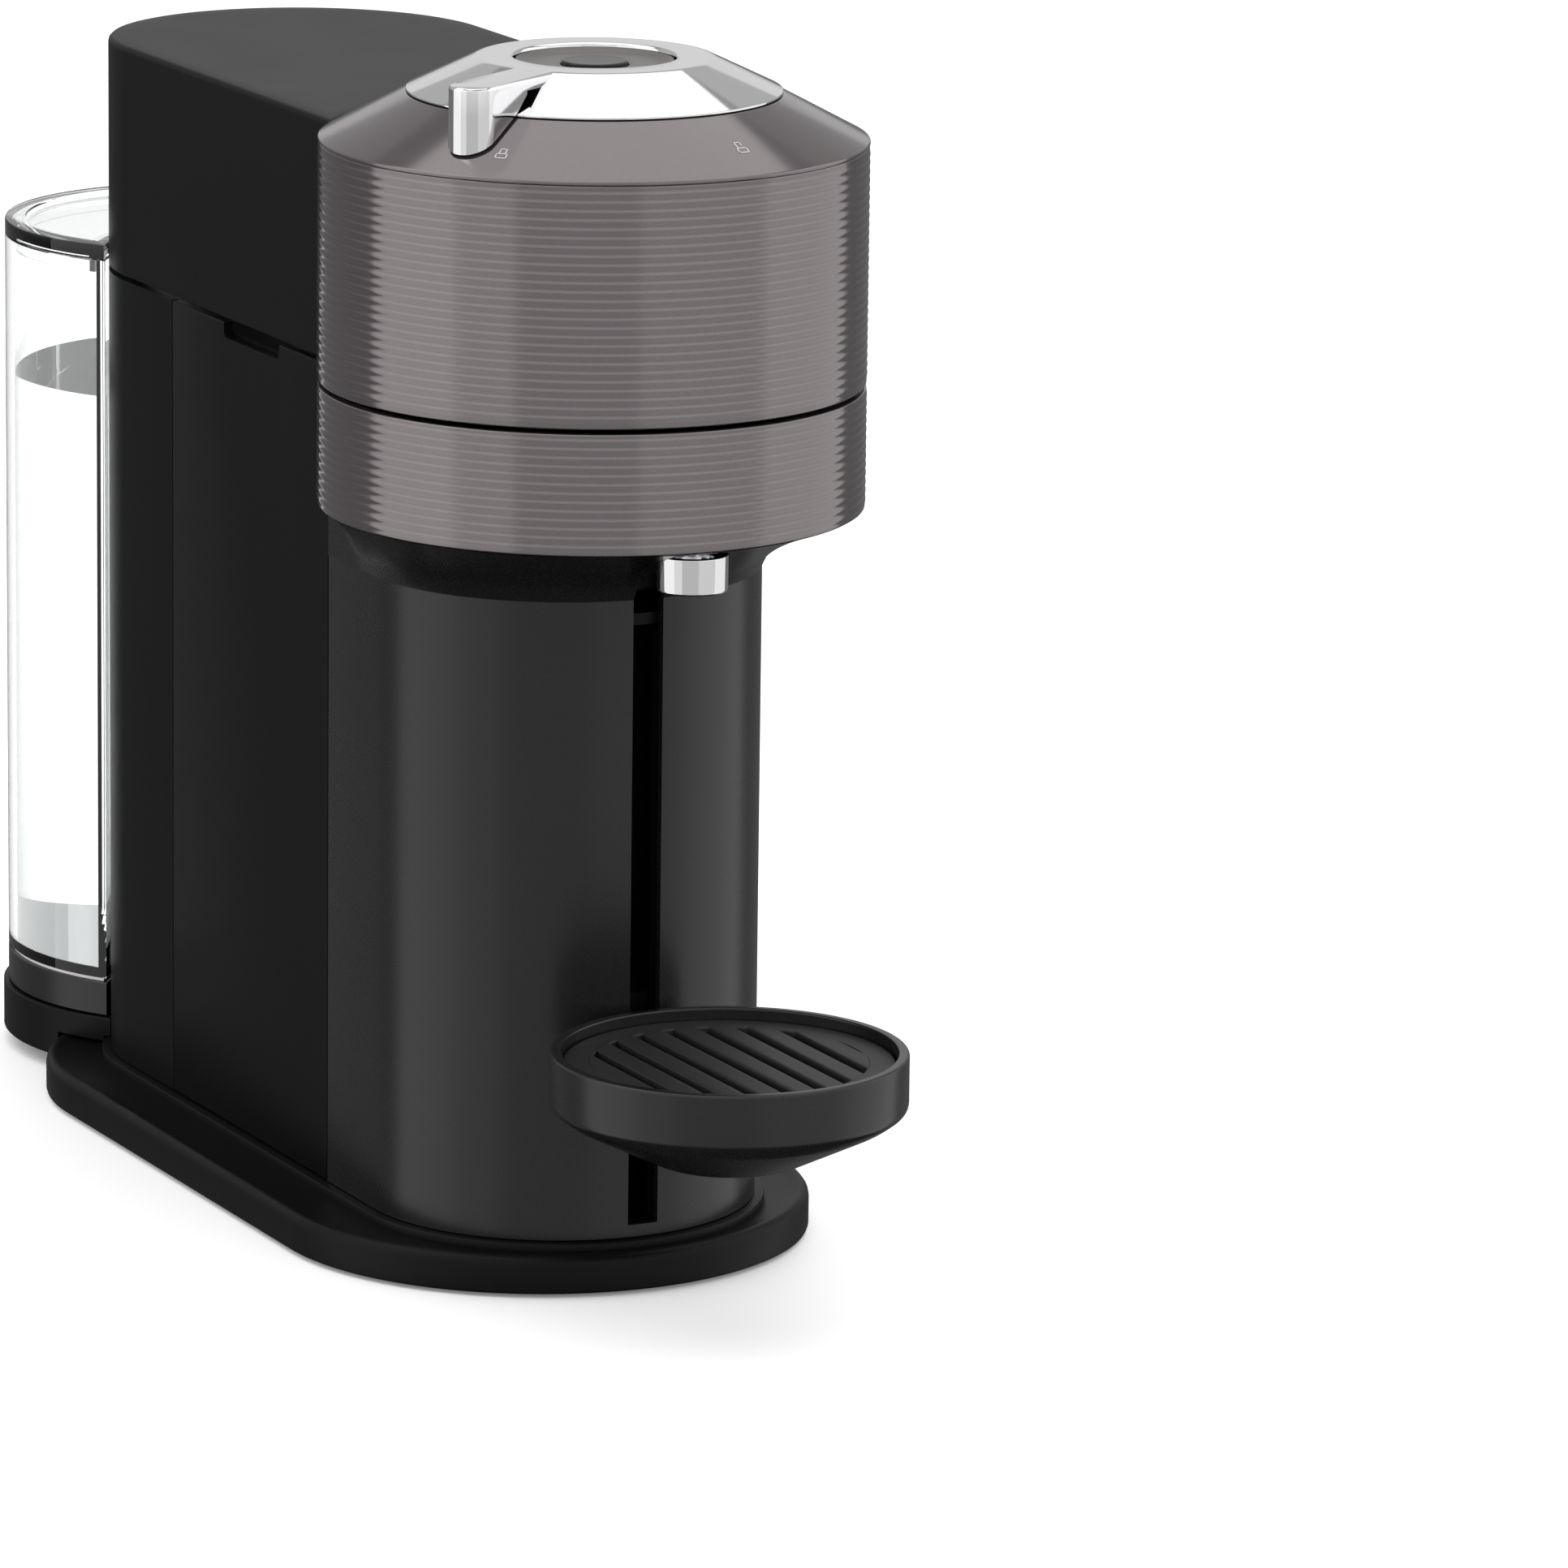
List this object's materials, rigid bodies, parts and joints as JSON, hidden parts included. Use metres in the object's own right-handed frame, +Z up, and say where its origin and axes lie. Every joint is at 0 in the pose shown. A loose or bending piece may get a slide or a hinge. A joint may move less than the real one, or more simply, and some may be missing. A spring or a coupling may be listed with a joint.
{
  "type": "pod coffee machine",
  "caption": "Pod coffee machine with a ribbed round head and turning chrome lock ring, a height-set cup support on a slim column and a clear water tank behind.",
  "frame": {"origin": "on the table, below the middle of the overall width and length", "axes": "+Z up; -Y the front, with the cup support; +Y the rear, with the water tank; +X the right-hand side"},
  "size_m": [0.142, 0.4288, 0.3135],
  "materials": {
    "matte_black": "fine matte black",
    "satin_graphite": "dark grey satin",
    "titanium_grey": "warm dark grey metallic satin",
    "chrome": "polished",
    "dark_plastic": "matte",
    "grey_plastic": "matte",
    "black_button": "soft gloss",
    "steel": "bright",
    "blackened_steel": "blackened",
    "rubber": "matte",
    "clear_plastic": "clear, polished",
    "silicone_hose": "translucent silicone",
    "board_green": "coated circuit board",
    "aluminium": "cast"
  },
  "bodies": {
    "housing": {"base_shell": "matte_black", "base_cover": "matte_black", "foot_1": "rubber", "foot_2": "rubber", "foot_3": "rubber", "foot_4": "rubber", "base_screw_1": "steel", "base_screw_2": "steel", "base_screw_3": "steel", "base_screw_4": "steel", "cord_gland": "rubber", "column_front": "satin_graphite", "side_panel_left": "matte_black", "side_panel_right": "matte_black", "rear_panel": "matte_black", "neck_flare": "satin_graphite", "head_lower_ring": "titanium_grey", "deck_cover": "matte_black", "main_frame": "dark_plastic", "hinge_block": "blackened_steel", "hinge_pin": "steel", "brew_chamber": "dark_plastic", "rotor_bearing": "steel", "drive_motor": "steel", "drive_belt": "rubber", "spout_nozzle": "chrome", "spout_duct": "matte_black", "support_rail": "dark_plastic", "tank_dock": "matte_black", "dock_port": "rubber", "water_pump": "steel", "boiler_block": "aluminium", "flow_meter": "dark_plastic", "control_board": "board_green", "inlet_hose": "silicone_hose", "pump_hose": "silicone_hose", "brew_hose": "silicone_hose", "capsule_bin": "dark_plastic"},
    "head": {"head_upper_shell": "titanium_grey", "rear_cover": "matte_black", "head_frame": "grey_plastic", "brew_head": "dark_plastic", "head_seal": "rubber", "head_hose": "silicone_hose", "button_dish": "dark_plastic", "switch_board": "board_green", "button_spring": "steel"},
    "lock": {"lock_ring": "chrome", "lock_collar": "steel"},
    "button": {"brew_button": "black_button"},
    "piercer": {"pierce_plate": "steel"},
    "rotor": {"capsule_holder": "grey_plastic", "holder_pulley": "dark_plastic"},
    "motor_shaft": {"motor_pulley": "steel"},
    "support": {"cup_support": "satin_graphite", "support_carriage": "dark_plastic"},
    "grid": {"drip_grid": "dark_plastic"},
    "tank": {"water_tank": "clear_plastic"},
    "lid": {"tank_lid": "clear_plastic"},
    "valve": {"tank_valve": "rubber"}
  },
  "joints": [
    {"name": "head_open", "type": "hinge", "parent": "housing", "child": "head", "pos_m": [0, 0.1404, 0.2375], "axis": [-1, 0, 0], "range_deg": [0, 50]},
    {"name": "lock_turn", "type": "hinge", "parent": "head", "child": "lock", "pos_m": [0, -0.0869, 0.3], "axis": [0, 0, 1], "range_deg": [0, 60]},
    {"name": "brew_press", "type": "slide", "parent": "head", "child": "button", "axis": [0, 0, -1], "range_m": [0, 0.0015], "stiffness_N_per_m": 400, "springref_m": -0.002, "deforming": ["button_spring"]},
    {"name": "capsule_spin", "type": "hinge", "parent": "housing", "child": "rotor", "pos_m": [0, -0.0869, 0.21], "axis": [0, 0, 1], "continuous": true},
    {"name": "motor_spin", "type": "hinge", "parent": "housing", "child": "motor_shaft", "pos_m": [0, -0.0209, 0.18], "axis": [0, 0, 1], "continuous": true},
    {"name": "pierce_spin", "type": "hinge", "parent": "head", "child": "piercer", "pos_m": [0, -0.0869, 0.23], "axis": [0, 0, 1], "continuous": true},
    {"name": "support_height", "type": "slide", "parent": "housing", "child": "support", "axis": [0, 0, 1], "range_m": [-0.03, 0.06]},
    {"name": "grid_lift", "type": "slide", "parent": "support", "child": "grid", "axis": [0, 0, 1], "range_m": [0, 0.012]},
    {"name": "tank_draw", "type": "slide", "parent": "housing", "child": "tank", "axis": [0, 1, 0], "range_m": [0, 0.03]},
    {"name": "lid_lift", "type": "slide", "parent": "tank", "child": "lid", "axis": [0, 0, 1], "range_m": [0, 0.012]},
    {"name": "valve_lift", "type": "slide", "parent": "tank", "child": "valve", "axis": [0, 0, 1], "range_m": [0, 0.003], "stiffness_N_per_m": 200, "springref_m": -0.002}
  ],
  "couplings": [
    {"joint": "motor_spin", "follows": "capsule_spin", "ratio": 1.72},
    {"joint": "pierce_spin", "follows": "capsule_spin", "ratio": 1}
  ]
}
